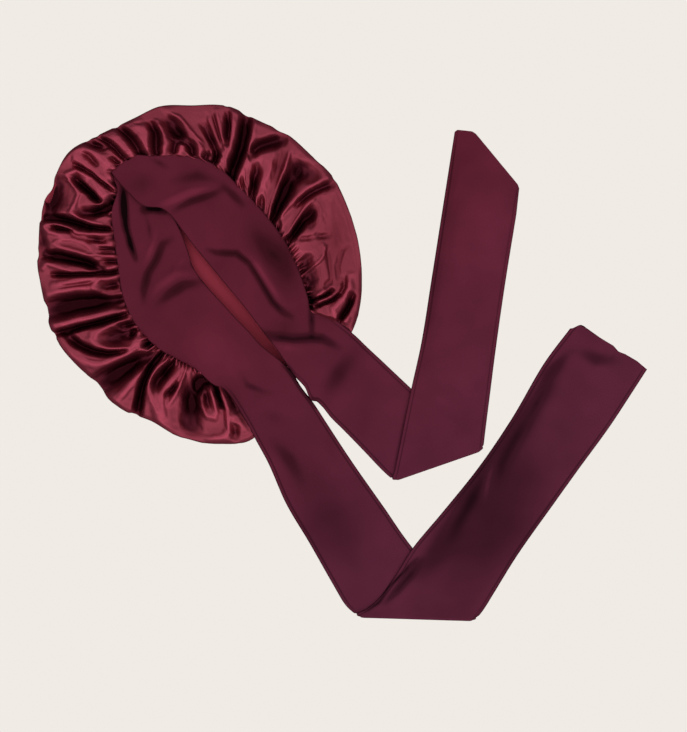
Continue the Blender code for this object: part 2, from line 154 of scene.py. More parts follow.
    (6, 6, 265, 0.07, 268.5, 0.12, 272, 0.07), (-12, 6, 285, 0.03, 280, 0.11, 275, 0.19, 271.5, 0.28),
    (7, 4, 285.5, 0.04, 283, 0.13, 281.5, 0.25, 280.5, 0.4, 279.5, 0.54, 277.5, 0.63, 274.5, 0.62, 273, 0.53, 272.7,
     0.42), (-8, 5, 277.5, 0.3, 276.2, 0.44), (-12, 4.5, 286, 0.08, 284.2, 0.25, 283.5, 0.42),
    (7, 4, 288, 0.1, 287.5, 0.3, 285.7, 0.48, 284, 0.62, 282, 0.8, 279.5, 0.9, 274, 0.95),
    (-5, 4, 285, 0.74, 283, 0.9), (5, 4, 286.8, 0.6, 287.3, 0.8), (-7, 4, 289.8, 0.15, 289, 0.5),
    (-1.5, 16, 8, 0.55, 20, 0.7, 32, 0.8),
    # right of the short tie, 340 to 360
    (-9, 8, 344, 0.04, 350, 0.06, 357, 0.03), (6, 4, 347, 0.14, 350, 0.27, 352.7, 0.43),
    (-8, 3, 345.5, 0.17, 348.5, 0.32, 351, 0.5, 353.5, 0.6), (-9, 3.5, 350.5, 0.13, 353.6, 0.33, 356.7, 0.48),
    (6, 5, 352.5, 0.13, 356, 0.26, 358.7, 0.4),
    (7, 5, 342, 0.55, 346, 0.51, 349, 0.6, 352, 0.7, 356, 0.79, 360.5, 0.83),
    (-10, 4.5, 341.5, 0.67, 345, 0.73, 349, 0.8, 352.5, 0.84), (4, 4, 340.5, 0.72, 342.5, 0.8, 345.3, 0.89),
    (-4, 4, 353.5, 0.62, 357, 0.7, 361, 0.71),
)

# The crown's gathered edge where it isn't under the sides of the band: round the back and, under the ties, round
# the front. along, across
BACK_OF_SEAM = ((-146, 15), (-147, 3), (-145, -8))
FRONT_OF_SEAM = ((123, -40), (135, -11), (139, 16), (134, 41), (121, 60))

# The band's right half, from its tie to the back, and its left half, from the back to its tie. Each row is a
# section square to the slit. along, across of its right and of its left edge, and the heights of those two edges
BAND_RIGHT = (
    (90, 78.5, 17.0, 12.5, 12.5), (60, 88.8, 17.3, 12.5, 12.5), (30, 95.4, 16.2, 12.5, 12.5),
    (0, 96.4, 15.2, 12.5, 12.5), (-30, 94.8, 14.2, 12.5, 12.7), (-52, 91.8, 14.5, 12.6, 13.8),
    (-70, 89.3, 14.3, 12.8, 14.6), (-81, 86.3, 11.5, 12.9, 15.5), (-93, 81.0, -1.0, 13.2, 15.2),
    (-116, 60.5, -7.0, 13.8, 15.0), (-133, 37.0, -8.5, 14.4, 14.8), (-143, 26.0, -8.5, 14.5, 14.5),
)
BAND_BACK = (-144, 14.0, -8.5, 14.5, 14.5)  # where the strip turns under
BAND_LEFT = (
    (-141, 17.0, -10.0, 11.7, 11.7), (-126, 20.0, -15.5, 11.6, 11.6), (-112, 20.0, -33.5, 11.5, 11.6),
    (-93, 19.0, -46.0, 11.4, 11.6), (-72, 17.0, -58.0, 11.4, 11.8), (-50, 12.5, -70.5, 11.6, 12.0),
    (-30, 6.5, -80.5, 12.0, 12.3), (-10, -0.5, -86.0, 12.5, 12.5), (15, -1.2, -87.2, 12.5, 12.5),
    (40, 0.8, -82.4, 12.5, 12.5), (62, 2.6, -72.8, 12.5, 12.5), (82, 5.0, -64.6, 12.5, 12.5),
)
SHORT_TIE_ROOT = ((105.7, 71.9), (118.4, 17.1))
LONG_TIE_ROOT = ((102.0, 6.5), (102.3, -60.7))
TIE_ROOT_HEIGHT = 12.5

# Wrinkles of the strips, where they show in the photo: height in millimetres (below 0 pressed in), width, and the
# x, y of each point of its line, in the photo's pixels
# A wrinkle's height also sets painted shade in its valley and painted highlight on its ridge; the wide, low ones show
# mostly by that painted shade and highlight.
RIGHT_WRINKLES = (
    (-2.4, 4, 175, 211, 180, 207.5, 192, 201, 212, 195, 222, 191), (-2.5, 3.5, 225, 187, 233, 195, 243, 205),
    (2.2, 4, 160, 206, 175, 201, 192, 194, 213, 188), (-1.5, 3, 153, 160, 168, 168),
    (-1.2, 6, 175, 182, 198, 177, 222, 183), (-1.4, 12, 127, 185, 160, 185),
    (-2.6, 3, 208, 250, 217, 253, 237, 254, 250, 263, 262, 283, 273, 302, 283, 312, 292, 317),
    (2, 3, 245, 252, 258, 267, 270, 285, 282, 303), (-1.3, 6, 257, 237, 268, 250, 282, 263, 288, 273),
    (-2.6, 2.6, 311, 304, 312, 322, 312, 336),
    (-2.7, 4.2, 262, 333, 275, 337, 293, 339.5, 310, 338, 322, 338.5, 338, 347), (-1.2, 9, 270, 327, 300, 328),
    (1.6, 4, 275, 345, 300, 348), (-1.5, 9, 356, 352, 342, 368, 331, 386, 327, 398), (-2.6, 1.6, 282, 358, 298, 379.5),
    (-3, 2, 310, 399, 317, 400), (-0.8, 2, 408, 403, 400, 443, 393, 473), (-1.4, 20, 250, 215, 280, 260, 298, 305),
    (-0.5, 20, 190, 165, 175, 175), (-0.4, 20, 360, 390, 372, 420),
)
LEFT_WRINKLES = (
    (-6.5, 3.4, 124, 186, 125, 210, 127, 230), (-5, 2.8, 126.5, 225, 131.5, 245, 137, 260),
    (-9, 4, 145, 210, 155, 208, 165, 211), (-1, 2.5, 146, 215, 150, 227, 152, 240, 145, 260),
    (1.6, 4, 157, 230, 150, 253, 144, 268), (-2.4, 4, 172, 240, 163, 245, 157, 260, 149, 273, 145, 290, 145, 302),
    (-1.5, 1.5, 192, 258, 192, 270), (-0.8, 2, 174, 264, 172, 272), (1.3, 3, 188, 258, 177, 267),
    (-2.2, 5, 203, 282, 185, 285, 172, 293, 158, 305), (1.5, 4, 195, 275, 177, 275, 160, 287, 152, 298),
    (-0.8, 5, 148, 317, 172, 328), (-0.8, 9, 218, 375, 230, 391, 246, 423),
    (-1.5, 4, 240, 370, 248, 385, 263, 391, 273, 393), (-0.8, 7, 261, 412, 288, 421),
    (-2.6, 1.6, 280, 359, 299, 384.5, 311, 401, 316, 408), (-1.2, 6, 273, 441, 290, 460, 300, 479),
    (-1, 30, 290, 440, 330, 520, 375, 590), (1.3, 26, 165, 330, 215, 350, 250, 385),
)
SHORT_END_WRINKLES = (
    (-0.9, 8, 459, 150, 447, 220, 434, 300, 424, 350), (1.5, 42, 488, 165, 478, 240, 470, 300),
    (1, 45, 445, 430, 460, 340), (-0.5, 3, 414, 391, 440, 408, 478, 434),
)
LONG_END_WRINKLES = (
    (-2.4, 1.5, 416, 558, 404, 571.5, 388.5, 587, 379, 602, 365, 612),
    (-2.2, 3.5, 421, 560, 410, 575, 396, 591, 385, 603), (-1.2, 6, 531, 414, 515, 441, 503, 464, 496, 495),
    (-0.9, 7, 485, 471, 469, 506, 458, 525, 452, 545),
    (-1.1, 10, 564, 360, 541, 395, 515, 432, 490, 465, 466, 505, 440, 548, 412, 582), (-1.6, 4, 542, 393, 531, 414),
    (1.2, 3, 496, 456, 488, 479, 483, 502), (-1, 14, 446, 541, 477, 541), (-1.4, 5, 569, 352, 548, 375, 542, 393),
    (-1.8, 7, 577, 350, 596, 359, 617, 361), (-0.6, 1.6, 603, 345, 608, 351), (-0.6, 1.6, 615, 354, 611, 359),
    (-1.6, 36, 440, 600, 480, 545, 520, 470, 545, 430),
)
PHOTO_ORIGIN = (200, 275)  # the pixel at the origin
PHOTO_PIXEL = 1.084  # millimetres

# The ties, leg by leg, from the band. Each row is a section from one edge to the other.
# ax, ay, az: a point on the left edge, seen from the band, and bx, by, bz: one on the right edge
SHORT_TIE = {
    "root": SHORT_TIE_ROOT,
    "first": (
        (144, -46, 12.5, 104, -111, 12.5), (147, -48.5, 12.5, 109, -116, 12.3), (153, -53, 12.5, 114.4, -122.5, 11.8),
        (158, -57, 12.4, 117.8, -131, 10.8), (162, -60, 12.4, 121, -136.2, 10), (165, -63, 12.2, 126.4, -136.9, 9.4),
        (168, -65.5, 12, 130.3, -140.3, 9), (181, -78, 9, 142, -154.4, 6), (195, -91, 5.5, 154, -166.4, 2.4),
        (229, -123, 1.1, 177, -190, 1.0), (266, -157, 1.0, 197, -211, 1.0),
    ),
    "crease": ((307, -188), (209, -222)),
    "second": (
        (309, -171, 2.4, 218, -177, 3.4), (314, -132, 1.2, 229, -123, 3.3), (320, -85, 1.0, 239, -78, 1.4),
        (331, -8, 1.0, 251, -4, 1.0), (343, 66, 1.0, 262, 66, 1.0),
    ),
    "end": ((0, 346, 93.5), (0.04, 344.5, 98), (0.72, 299, 153), (0.78, 295, 155.6), (0.97, 279, 157.3), (1, 276, 155)),
    "wrinkles": (RIGHT_WRINKLES, SHORT_END_WRINKLES),
}
LONG_TIE = {
    "root": LONG_TIE_ROOT,
    "first": (
        (92.5, -97.5, 12.7, 27, -124, 13.4), (111.6, -123.5, 11.5, 50, -158, 13.6),
        (125.2, -141.4, 8.2, 62.8, -182, 11.2), (134.6, -156, 5.5, 72, -199, 9.0), (164, -201, 1.3, 93, -247, 1.5),
        (199, -251, 1.0, 119, -291, 1.0), (230, -295, 1.0, 144, -335, 1.0), (265, -336, 1.0, 158, -358, 1.0),
    ),
    "crease": ((299, -373), (170, -369)),
    "second": (
        (307, -363, 2.6, 190, -354, 3.4), (319, -344, 1.9, 210, -328, 3.4), (338, -313, 1.3, 231, -295, 3.3),
        (352, -292, 1.0, 262, -258, 1.6), (377, -257, 1.0, 300, -211, 1.0), (410, -211, 1.0, 337, -157, 1.0),
        (447, -160, 1.0, 374, -94, 1.0), (477, -114, 1.0, 401, -58, 1.0),
    ),
    "end": (
        (0, 484.5, -102.4), (0.12, 473.7, -93.2), (0.26, 460.7, -85.6), (0.36, 452, -82.4), (0.41, 448.8, -77),
        (0.55, 435.8, -69.4), (0.68, 424.9, -62.9), (0.84, 416.3, -55.3), (0.92, 411.9, -53.7), (1, 404.3, -57.5),
    ),
    "wrinkles": (LEFT_WRINKLES, LONG_END_WRINKLES),
}

# The crown, in millimetres
SEAM_TUCK = 3.0  # how far its gathered edge reaches in under the band
PLAIN_HEIGHTS = ((0, 10), (0.06, 14.5), (0.3, 19), (0.6, 18.5), (0.85, 16), (0.95, 13.5), (1, 9.5))  # reach and height
FLAT_HEIGHT = 10  # where it lies flat under the ties
COVERED = (291, 339)  # degrees of the rim under the ties
COVERED_EDGE = 3  # degrees over which it comes to lie flat there
HEIGHT_LIMITS = (3.5, 24.5)  # before it is let go
LOWEST = 2.4  # of the folds, over the cloth on the floor
HIGHEST_BELOW = 1.5  # of the cloth on the floor
UNDERSIDE = (  # its rows from the rim inwards: how far inside the rim, and the height
    (0.6, 4.5), (4, 1.2), (12, 0.7), (18, 0.7), (24, 0.7), (30, 0.7), (36, 0.7), (42, 0.7),
)
BASE_REACHES = (0.93, 0.8, 0.6, 0.4, 0.2, 0.08)  # of the rings under the slit; each but the first has half the points
PATTERN_WINDOW = 43  # columns over which the flat pattern's edge is evened out
SEAM_STEP = 4  # between the points of the band's sewn edge
ROUND_SAMPLES, DENSITY_SAMPLES, LENGTH_SAMPLES = 4 * 360, 12, 60  # of the start shape, to space its points evenly

# Its folds
DEGREE = 3.0  # on the rim, in millimetres
REACH = 75.0  # from the band to the rim, in millimetres
VALLEY_FACTOR = 1.3  # the cloth settles, so valleys are laid out deeper
RIDGE_FACTOR = 0.6  # and ridges lower than their tables say
FOLD_FADES = ((0, 0.35), (0.07, 1), (0.95, 1), (1, 0.7))  # reach and share of the folds' height
FOLD_END, FOLD_GAIN = 0.55, 0.45  # a fold's height at its ends, as a share, and what its middle has more
VALLEY_SPREAD = 1.6  # half of a valley's whole width, over its stated half width
VALLEY_SHARPNESS = 1.35  # of the narrowest valleys
ROUND_FROM, ROUND_OVER = 2, 3  # half width at which valleys start to be round, and over which they come to be
WIDE_RIDGE, RIDGE_GAIN = 3.5, 0.8  # ridges with a greater half width than this gain some more
UNEVENNESS = 0.3  # height of the broad waves on the crown
WAVES_FROM, WAVES_OVER = 60, 45  # radii that the waves are laid out over
RIM_ROLL = 1.8  # how far inside its table the rim's rolled edge starts
NOTCH_DEPTH, NOTCH_REACH = 1.6, 0.9  # of the rim where a valley runs out, and the reach at which that is judged
NOTCH_BELOW, NOTCH_RANGE = 13, 8  # heights: no notch above the first, all of it at the second below that

# Its gathers, with painted highlight and painted shade that follow their height, and the painted shade beside the band
# between them, which is colour only
GATHER_WIDTHS, GATHER_HEIGHTS = (0.6, 1.4), (0.5, 1.25)  # least and greatest, over the mean
GATHER_LENGTHS = (0.08, 0.2)  # as reach
GATHER_FADE = 0.8  # the power with which a gather fades along its length
GATHER_START = ((0, 0.6), (0.05, 1))  # reach and share of its height
GATHER_PAINTED_LIGHT = 1.6  # painted highlight and shade on a gather, over its height
SEAM_SHADE_DEPTH, SEAM_SHADE_REACH = 4.5, 0.035  # how dark the painted shade beside the band is, and how far from the band it reaches
SEAM_SHADE_CHANGE, SEAM_SHADE_RATES = 0.8, (0.9, 0.23)  # how much that painted shade differs, and how fast round the crown

# The cloth simulation
SIMULATION_SCALE = 10  # the solver likes decimetres
CLOTH = {
    "quality": 5, "mass": 0.02, "tension_stiffness": 15, "compression_stiffness": 15, "shear_stiffness": 2,
    "air_damping": 2,
}
CLOTH_GAP, FLOOR_GAP = 0.003, 0.01  # that cloth and floor keep, in decimetres
HELD_ROWS = (2, 3)  # at the band's edge, and at the innermost part of the underside
HELD_BELOW = 0.02  # columns that show less than this are held too
REHEARSAL_FLOOR = 4  # half its side, in decimetres

# The strips, in millimetres
STRIP_ON_FLOOR = 1.0  # height of a strip's middle surface on the floor
STRIP_ON_STRIP = 3.4  # and on its own first leg
TURN_STEPS = 10  # of a strip's turn over a crease
CORNER = 3.2  # what the corner of a folded tie is rounded by
CORNER_SPREAD = 2.5  # how far the rounding reaches, over that
CORNER_HOLD = 1.15  # more than 1, so that it is whole beside the crease
PRESSED_FROM = 50  # along a tie, over which its pressed lines come in
# a pressed line's width, and the painted shade in it
PRESSED_WIDTH, PRESSED_LINE_PAINTED_SHADE = 0.7, 3
PRESSED_SHARE = 0.45  # of a tie's thickness; the band has none
EDGE_ROUND = 1.1  # how far inside its edge a strip has its whole thickness
EDGE_PAINTED_SHADE_WIDTH, EDGE_PAINTED_SHADE = 0.6, 2.4  # the painted shade along its edge
EDGE_STEPS = (0, 0.15, 0.5, 1.1, 2.2, 3.3, 3.9, 4.5, 5.6, 8)  # from a strip's edge, where it has its points
WRINKLE_SPREAD = 1.15  # over its stated width
WRINKLE_END = 0.25  # share of its height
WRINKLE_TAPER = (4, 12)  # its length is this many widths and this much more
DEEPEST_ON_CROWN, DEEPEST_ON_STRIP, DEEPEST_IN_TURN = 2.2, 0.9, 1  # that a wrinkle sinks, by what lies under it
STRIP_UNEVENNESS = 0.2  # height of the broad waves on a strip
# Their sizes as cut and folded, in metres
BAND_FLAT, SHORT_TIE_FLAT, LONG_TIE_FLAT = (0.54, 0.087), (0.555, 0.083), (0.695, 0.09)

# The stage
VIEW_MIDDLE, VIEW_HEIGHT = (155.6, -98.6), 793.5  # of the floor, as the camera sees it, in millimetres
LENS, SENSOR = 120, 36
CAMERA_END = 50
FLOOR_HALF = 6  # metres
FLOOR_COLOUR = (0.871, 0.831, 0.783)
SKY = ((0.0, 0.1), (0.25, 0.25), (0.5, 0.8), (0.72, 1.55), (0.9, 0.8), (1.0, 0.35))  # from the horizon up: brightness
KEY_SIDE = (0.05, -0.35, 0)  # where the sky is brighter, and by how much


# ---------------- curves, meshes and objects


def on_plan(along, across):
    """A point given along and across the slit, as X and Y."""
    x = along * cos(SLIT_DIRECTION) - across * sin(SLIT_DIRECTION)
    y = along * sin(SLIT_DIRECTION) + across * cos(SLIT_DIRECTION)
    return x, y


def at_angle(degrees, radius):
    return np.stack((radius * np.cos(np.radians(degrees)), radius * np.sin(np.radians(degrees))), -1)


def unit(vector):
    return vector / np.linalg.norm(vector)


def running_length(steps, axis=0):
    """How far along each point is, from the lengths of the steps between them."""
    return np.concatenate((np.zeros_like(steps.take([0], axis)), np.cumsum(steps, axis)), axis)


def along_curve(at, places, values):
    """The values at each of these places on a smooth curve through the known ones."""
    slopes = np.gradient(values, places, axis=0)
    k = np.clip(np.searchsorted(places, at) - 1, 0, len(places) - 2)
    size = (-1,) + (1,) * (np.ndim(values) - 1)
    width = (places[k + 1] - places[k]).reshape(size)
    share = (at - places[k]).reshape(size) / width
    rise = share**2 * (3 - 2 * share)
    out = (share**3 - 2 * share**2 + share) * width * slopes[k]
    back = (share**3 - share**2) * width * slopes[k + 1]
    return values[k] + rise * (values[k + 1] - values[k]) + out + back


def smooth_rows(rows, step, before=None, after=None):
    """More sections between these, a step apart, on smooth curves through them all."""
    known = np.vstack([row for row in (before, *rows, after) if row is not None]).astype(float)
    places = running_length(np.linalg.norm(np.diff(known[:, :3] + known[:, 3:], axis=0), axis=1) / 2)
    first = 0 if before is None else 1
    found = []
    for start, end in zip(places[first:], places[first + 1 : first + len(rows)]):
        found.append(np.linspace(start, end, max(round((end - start) / step), 1), endpoint=False))
    return along_curve(np.append(np.concatenate(found), places[first + len(rows) - 1]), places, known)


def new_mesh(name, points, faces):
    data = bpy.data.meshes.new(name)
    data.from_pydata(points, [], faces)
    return data


def placed(name, data):
    """A new object with this data, in the scene."""
    obj = bpy.data.objects.new(name, data)
    bpy.context.scene.collection.objects.link(obj)
    return obj


def square(name, half):
    """A flat square on z = 0."""
    corners = [(-half, -half, 0), (half, -half, 0), (half, half, 0), (-half, half, 0)]
    return placed(name, new_mesh(name, corners, [(0, 1, 2, 3)]))


def round_grid(rows, columns):
    """The faces of a grid of points whose columns go round: each one's row, its column and its four points."""
    row, column = np.meshgrid(np.arange(rows - 1), np.arange(columns), indexing="ij")
    beside = (column + 1) % columns
    low, high = row * columns, (row + 1) * columns
    return row, column, np.stack((low + column, high + column, high + beside, low + beside), -1).reshape(-1, 4)


def set_attribute(data, name, values):
    data.attributes.new(name, "FLOAT", "POINT").data.foreach_set("value", values)


def finish_piece(obj, material, node):
    """Gives a piece its material, hangs it from the root body and hides the imported part that it stands for."""
    obj.data.materials.append(material)
    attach(obj, "root")
    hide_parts(node)


# ---------------- the crown


def slit_section(row):
    """A row of the band's tables as two points, each with its X, Y and height."""
    along, right, left, right_height, left_height = row
    return (*on_plan(along, right), right_height, *on_plan(along, left), left_height)


def root_section(root):
    """The same for the place where a tie leaves the band."""
    (right_along, right), (left_along, left) = root
    return (*on_plan(right_along, right), TIE_ROOT_HEIGHT, *on_plan(left_along, left), TIE_ROOT_HEIGHT)


def seam_outline():
    """The band's sewn edge all round, as two arrays: the angles in degrees, rising, and the radii."""
    right = smooth_rows([root_section(SHORT_TIE_ROOT), *map(slit_section, BAND_RIGHT)], SEAM_STEP)
    left = smooth_rows([*map(slit_section, BAND_LEFT[1:]), root_section(LONG_TIE_ROOT)], SEAM_STEP)
    back = [on_plan(*place) for place in BACK_OF_SEAM]
    front = [on_plan(*place) for place in FRONT_OF_SEAM]
    x, y = np.array([*right[:, :2], *back, *left[:, 3:5], *front]).T
    angles = np.degrees(np.arctan2(y, x)) % 360
    order = np.argsort(angles)
    return angles[order], np.hypot(x, y)[order]


def all_round(column):
    """The rim's angles and one of its other columns, once round, with a few more at each end."""
    pairs = np.array(RIM, float)[:, [0, column]]
    turn = [360, 360 if column == AT_BAND else 0]
    return np.vstack((pairs[-3:] - turn, pairs, pairs[:3] + turn)).T


SEAM = seam_outline()
RADII = all_round(AT_RIM)
LEAN = all_round(AT_BAND)


def uneven(x, y):
    """Low, broad waves without a direction, from about -1 to 1."""
    waves = ((0.021, 0.9, 1.0), (0.034, 2.3, 4.1), (0.047, 3.9, 2.2), (0.06, 5.2, 0.4), (0.083, 1.7, 5.0))
    return sum(np.sin(2 * pi * rate * (x * cos(way) + y * sin(way)) + start) for rate, way, start in waves) / 3


def near_line(x, y, points):
    """How far each place is from a line through these points, and how far along it is from the line's nearer end."""
    lengths = np.hypot(*np.diff(points, axis=0).T)
    nearest = np.full(np.shape(x), np.inf)
    to_end = np.zeros(np.shape(x))
    for k, ((ax, ay), (bx, by)) in enumerate(zip(points, points[1:])):
        share = np.clip(((x - ax) * (bx - ax) + (y - ay) * (by - ay)) / lengths[k] ** 2, 0, 1)
        gap = np.hypot(x - ax - share * (bx - ax), y - ay - share * (by - ay))
        run = lengths[:k].sum() + share * lengths[k]
        to_end = np.where(gap < nearest, np.minimum(run, lengths.sum() - run), to_end)
        nearest = np.minimum(nearest, gap)
    return nearest, to_end


def fold_share(x, y, width, points, deep):
    """How much of a fold's height there is at each place."""
    nearest, to_end = near_line(x, y, points)
    taper = np.clip(to_end / (2 * width), 0, 1)
    taper = FOLD_END + FOLD_GAIN * taper**2 * (3 - 2 * taper)
    if deep:
        share = np.clip(1 - nearest / (VALLEY_SPREAD * width), 0, 1)
        rounded = np.clip((width - ROUND_FROM) / ROUND_OVER, 0, 1)
        return (share**VALLEY_SHARPNESS * (1 - rounded) + share**2 * (3 - 2 * share) * rounded) * taper
    return np.exp(-((nearest / (width + max(width - WIDE_RIDGE, 0) * RIDGE_GAIN)) ** 2)) * taper


def shown_share(around):
    """1 where the crown shows, 0 where it lies flat under the ties."""
    start, end = COVERED
    around = around % 360
    return np.clip(np.maximum(start - around, around - end) / COVERED_EDGE, 0, 1)


def fold_heights(around, reach):
    """The crown's height at these degrees of the rim and this reach, with its folds, and the folds' own share of it."""
    folded = np.zeros(len(around))
    for height, width, *points in FOLDS:
        line = np.array(points, float).reshape(-1, 2) * (DEGREE, REACH)
        margin = 3 * width
        scale = height * (VALLEY_FACTOR if height < 0 else RIDGE_FACTOR)
        for turn in (-360, 0, 360):
            x = (around - turn) * DEGREE
            near = (x > line[:, 0].min() - margin) & (x < line[:, 0].max() + margin)
            if near.any():
                folded[near] += scale * fold_share(x[near], reach * REACH, width, line, height < 0)
    shown = shown_share(around)
    plain = FLAT_HEIGHT + (np.interp(reach, *zip(*PLAIN_HEIGHTS)) - FLAT_HEIGHT) * shown
    folded *= shown * np.interp(reach, *zip(*FOLD_FADES))
    plain = plain + UNEVENNESS * shown * uneven(*(at_angle(around, WAVES_FROM + WAVES_OVER * reach).T))
    return np.clip(plain + folded, *HEIGHT_LIMITS), folded


class Gathers:
    """The small gathers beside the band: unevenly wide, high and long."""

    def __init__(self, count, height):
        draw = np.random.default_rng(RNG_SEED)
        widths = draw.uniform(*GATHER_WIDTHS, count)
        self.places = running_length(widths) / widths.sum() * 360
        self.heights = draw.uniform(*GATHER_HEIGHTS, count) * height
        self.lengths = draw.uniform(*GATHER_LENGTHS, count)
        self.heights = np.append(self.heights, self.heights[0])
        self.lengths = np.append(self.lengths, self.lengths[0])

    def at(self, around, reach):
        known = (np.arange(len(self.places)), self.heights, self.lengths)
        number, height, length = (np.interp(around % 360, self.places, values) for values in known)
        fade = np.clip(1 - reach / length, 0, 1) ** GATHER_FADE * np.interp(reach, *zip(*GATHER_START))
        return height * fade * np.cos(2 * pi * number)


def crown_points(around, reach, gathers):
    """The gathered crown before it is let go, at these degrees of the rim and this reach: its points, the rim's
    radius, how far it shows and how high its folds are."""
    shown = shown_share(around)
    height, folded = fold_heights(around, reach)
    gathered = gathers.at(around, reach) * shown
    height = height + gathered
    # Painted shade beside the band, in soft patches round the crown, and painted highlight and shade on the gathers:
    # colour only
    seam_shade = 1 + SEAM_SHADE_CHANGE * np.sin(SEAM_SHADE_RATES[0] * around) * np.sin(SEAM_SHADE_RATES[1] * around + 1)
    folded = folded + GATHER_PAINTED_LIGHT * gathered - SEAM_SHADE_DEPTH * seam_shade * shown * np.exp(-reach / SEAM_SHADE_REACH)
    low = np.clip((NOTCH_BELOW - fold_heights(around, NOTCH_REACH)[0]) / NOTCH_RANGE, 0, 1)
    rim = along_curve(around, *RADII) - RIM_ROLL - NOTCH_DEPTH * low * shown
    at_band = along_curve(around, *LEAN)
    start = at_angle(at_band, np.interp(at_band % 360, *SEAM, period=360) - SEAM_TUCK)
    end = at_angle(around, rim)
    points = np.concatenate((start + (end - start) * reach, np.maximum(height, 1)[:, None]), 1)
    return points, rim, shown, folded


def crown_grid(settings):
    """The start shape as a grid, the rim's radius, how far each column shows and, at each point, the folds' height with
    the painted shade beside the band and on the gathers, which sets the satin's painted highlight and shade.
    """
    gathers = Gathers(settings.gathers, settings.gather_height / MM)
    around = np.linspace(0, 360, ROUND_SAMPLES + 1)
    density = 0
    for reach in np.linspace(0, 1, DENSITY_SAMPLES):
        steps = np.linalg.norm(np.diff(crown_points(around, reach, gathers)[0], axis=0), axis=1)
        density = density + steps / steps.sum()
    run = running_length(density) / density.sum()
    columns = np.interp(np.arange(settings.columns) / settings.columns, run, around)
    fine = np.linspace(0, 1, LENGTH_SAMPLES)
    shape = np.stack([crown_points(columns, reach, gathers)[0] for reach in fine])
    length = running_length(np.linalg.norm(np.diff(shape, axis=0), axis=2).mean(1))
    reaches = np.interp(np.linspace(0, length[-1], settings.rows + 1), length, fine)
    rows, rims, showns, painted_tone_heights = zip(*(crown_points(columns, reach, gathers) for reach in reaches))
    for back, height in UNDERSIDE:
        rows += (np.column_stack((at_angle(columns, rims[0] - back), np.full(len(columns), height))),)
        painted_tone_heights += (painted_tone_heights[-1],)
    return np.stack(rows), rims[0], showns[0], np.stack(painted_tone_heights)


def flat_pattern(grid, rim):
    """The same grid on the flat cloth, as cut: rings at the cloth's own distances from the middle."""
    radius = np.zeros(grid.shape[:2])
    radius[-1] = rim - UNDERSIDE[-1][0]
    for row in range(len(grid) - 2, -1, -1):
        radius[row] = radius[row + 1] + np.linalg.norm(grid[row] - grid[row + 1], axis=1)
    window = np.hanning(PATTERN_WINDOW)[1:-1]
    window /= window.sum()
    half = len(window) // 2
    radius = np.stack([np.convolve(np.concatenate((r[-half:], r, r[:half])), window, "valid") for r in radius])
    angles = np.arange(grid.shape[1]) * 360 / grid.shape[1]
    return at_angle(angles[None, :], radius)


def let_go(grid, pattern, shown, settings):
    """Runs the cloth simulation from the start shape, with the flat pattern as its rest shape."""
    rows, columns = grid.shape[:2]
    scale = SIMULATION_SCALE * MM
    points = (grid.reshape(-1, 3) * scale).tolist()
    rehearsal = placed("satin rehearsal", new_mesh("satin rehearsal", points, round_grid(rows, columns)[2].tolist()))
    rehearsal.shape_key_add(name="Basis")
    key = rehearsal.shape_key_add(name="Flat")
    flat = np.zeros((rows * columns, 3))
    flat[:, :2] = pattern.reshape(-1, 2) * scale
    key.data.foreach_set("co", flat.ravel())
    key.value = 0
    held = rehearsal.vertex_groups.new(name="held")
    whole_rows = [*range(HELD_ROWS[0]), *range(rows - HELD_ROWS[1], rows)]
    held.add([r * columns + c for r in whole_rows for c in range(columns)], 1, "REPLACE")
    covered = np.flatnonzero(shown < HELD_BELOW)
    held.add([int(r * columns + c) for r in range(rows) for c in covered], 1, "REPLACE")
    cloth = rehearsal.modifiers.new("Cloth", "CLOTH")
    for name, value in CLOTH.items():
        setattr(cloth.settings, name, value)
    cloth.settings.bending_stiffness = settings.bending
    cloth.settings.vertex_group_mass = held.name
    cloth.settings.rest_shape_key = key
    cloth.collision_settings.distance_min = CLOTH_GAP
    cloth.point_cache.frame_start = 1
    cloth.point_cache.frame_end = settings.frames
    floor = square("floor rehearsal", REHEARSAL_FLOOR)
    floor.modifiers.new("Collision", "COLLISION")
    floor.collision.thickness_outer = FLOOR_GAP
    scene = bpy.context.scene
    for number in range(1, settings.frames + 1):
        scene.frame_set(number)
    result = rehearsal.evaluated_get(bpy.context.evaluated_depsgraph_get()).data
    found = np.empty(rows * columns * 3, np.float32)
    result.vertices.foreach_get("co", found)
    for obj in (rehearsal, floor):
        mesh = obj.data
        bpy.data.objects.remove(obj, do_unlink=True)
        bpy.data.meshes.remove(mesh)
    scene.frame_set(1)
    return found.reshape(rows, columns, 3) / scale


def refined(grid):
    """The grid with a point between each two, on a smooth surface through them all. Columns go round."""
    between = (9 * (grid + np.roll(grid, -1, 1)) - np.roll(grid, 1, 1) - np.roll(grid, -2, 1)) / 16
    grid = np.stack((grid, between), 2).reshape(len(grid), -1, grid.shape[2])
    longer = np.concatenate((2 * grid[:1] - grid[1:2], grid, 2 * grid[-1:] - grid[-2:-1]))
    between = (9 * (grid[:-1] + grid[1:]) - longer[:-3] - longer[3:]) / 16
    found = np.empty((2 * len(grid) - 1, *grid.shape[1:]))
    found[::2] = grid
    found[1::2] = between
    return found


def ring_faces(rings):
    """Faces between rings of point numbers, each as long as the one before it or half as long."""
    faces = []
    for outer, inner in zip(rings, rings[1:]):
        count = len(inner)
        for k in range(count):
            here, beside = inner[k], inner[(k + 1) % count]
            if len(outer) == count:
                faces.append((outer[k], outer[(k + 1) % count], beside, here))
            else:
                middle, end = outer[2 * k + 1], outer[(2 * k + 2) % len(outer)]
                faces += [(outer[2 * k], middle, here), (middle, end, beside, here)]
    return faces


